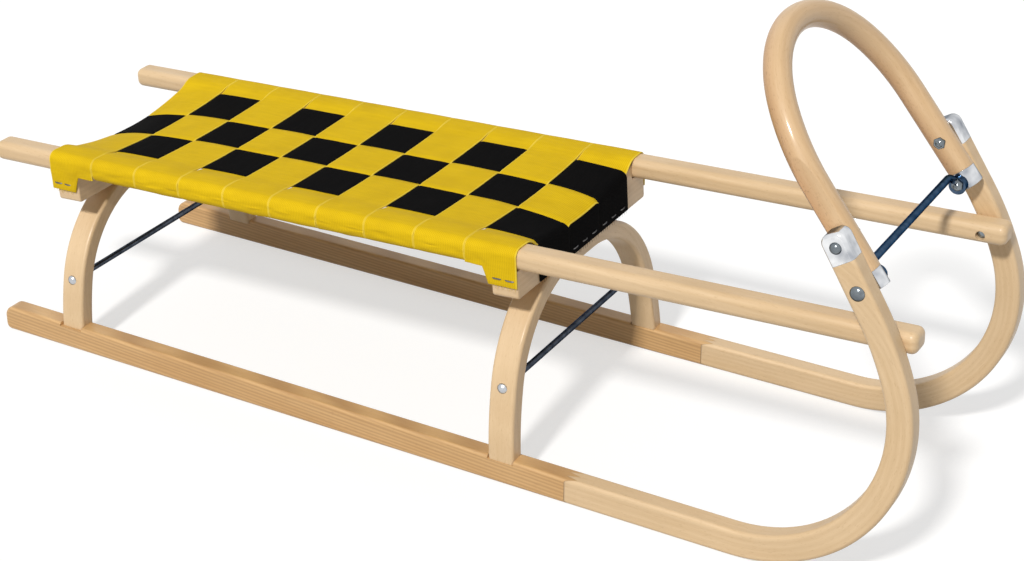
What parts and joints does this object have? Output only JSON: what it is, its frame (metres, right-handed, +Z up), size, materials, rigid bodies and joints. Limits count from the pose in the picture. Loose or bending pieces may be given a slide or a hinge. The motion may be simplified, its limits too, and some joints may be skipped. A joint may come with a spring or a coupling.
{
  "type": "wooden sled",
  "caption": "Wooden horn sled with bent runners, arched legs, long seat rails, a round front hoop, a steel tow rod and a woven webbing seat.",
  "frame": {"origin": "on the floor under the middle of the overall length and width", "axes": "+X forward to the horns, +Y to the left side, +Z up"},
  "size_m": [1.1282, 0.352, 0.5135],
  "materials": {
    "beech": "clear satin varnish",
    "hoop_wood": "clear gloss varnish",
    "ash": "clear satin varnish, open grain",
    "zinc_steel": "zinc plated",
    "dark_steel": "blued rod",
    "webbing_yellow": "woven",
    "webbing_black": "woven"
  },
  "bodies": {
    "root": {"runner_horn_left": "beech", "runner_horn_right": "beech", "arch_rear": "beech", "arch_front": "beech", "crossbeam_rear": "beech", "crossbeam_front": "beech", "rail_left": "beech", "rail_right": "beech", "hoop": "hoop_wood", "runner_rear_left": "ash", "runner_rear_right": "ash", "horn_ferrule_left": "zinc_steel", "horn_ferrule_right": "zinc_steel", "hoop_ferrule_left": "zinc_steel", "hoop_ferrule_right": "zinc_steel", "bolt_upper_left": "zinc_steel", "bolt_upper_right": "zinc_steel", "bolt_lower_left": "zinc_steel", "bolt_lower_right": "zinc_steel", "rail_screw_left": "zinc_steel", "rail_screw_right": "zinc_steel", "tow_rod": "zinc_steel", "tie_rod_rear": "dark_steel", "tie_rod_front": "dark_steel", "band_01": "webbing_yellow", "band_02": "webbing_yellow", "band_03": "webbing_yellow", "band_04": "webbing_yellow", "band_05": "webbing_yellow", "band_06": "webbing_yellow", "band_07": "webbing_yellow", "band_08": "webbing_yellow", "band_09": "webbing_yellow", "band_10": "webbing_yellow", "strap_left": "webbing_black", "strap_middle": "webbing_black", "strap_right": "webbing_black"}
  },
  "joints": []
}
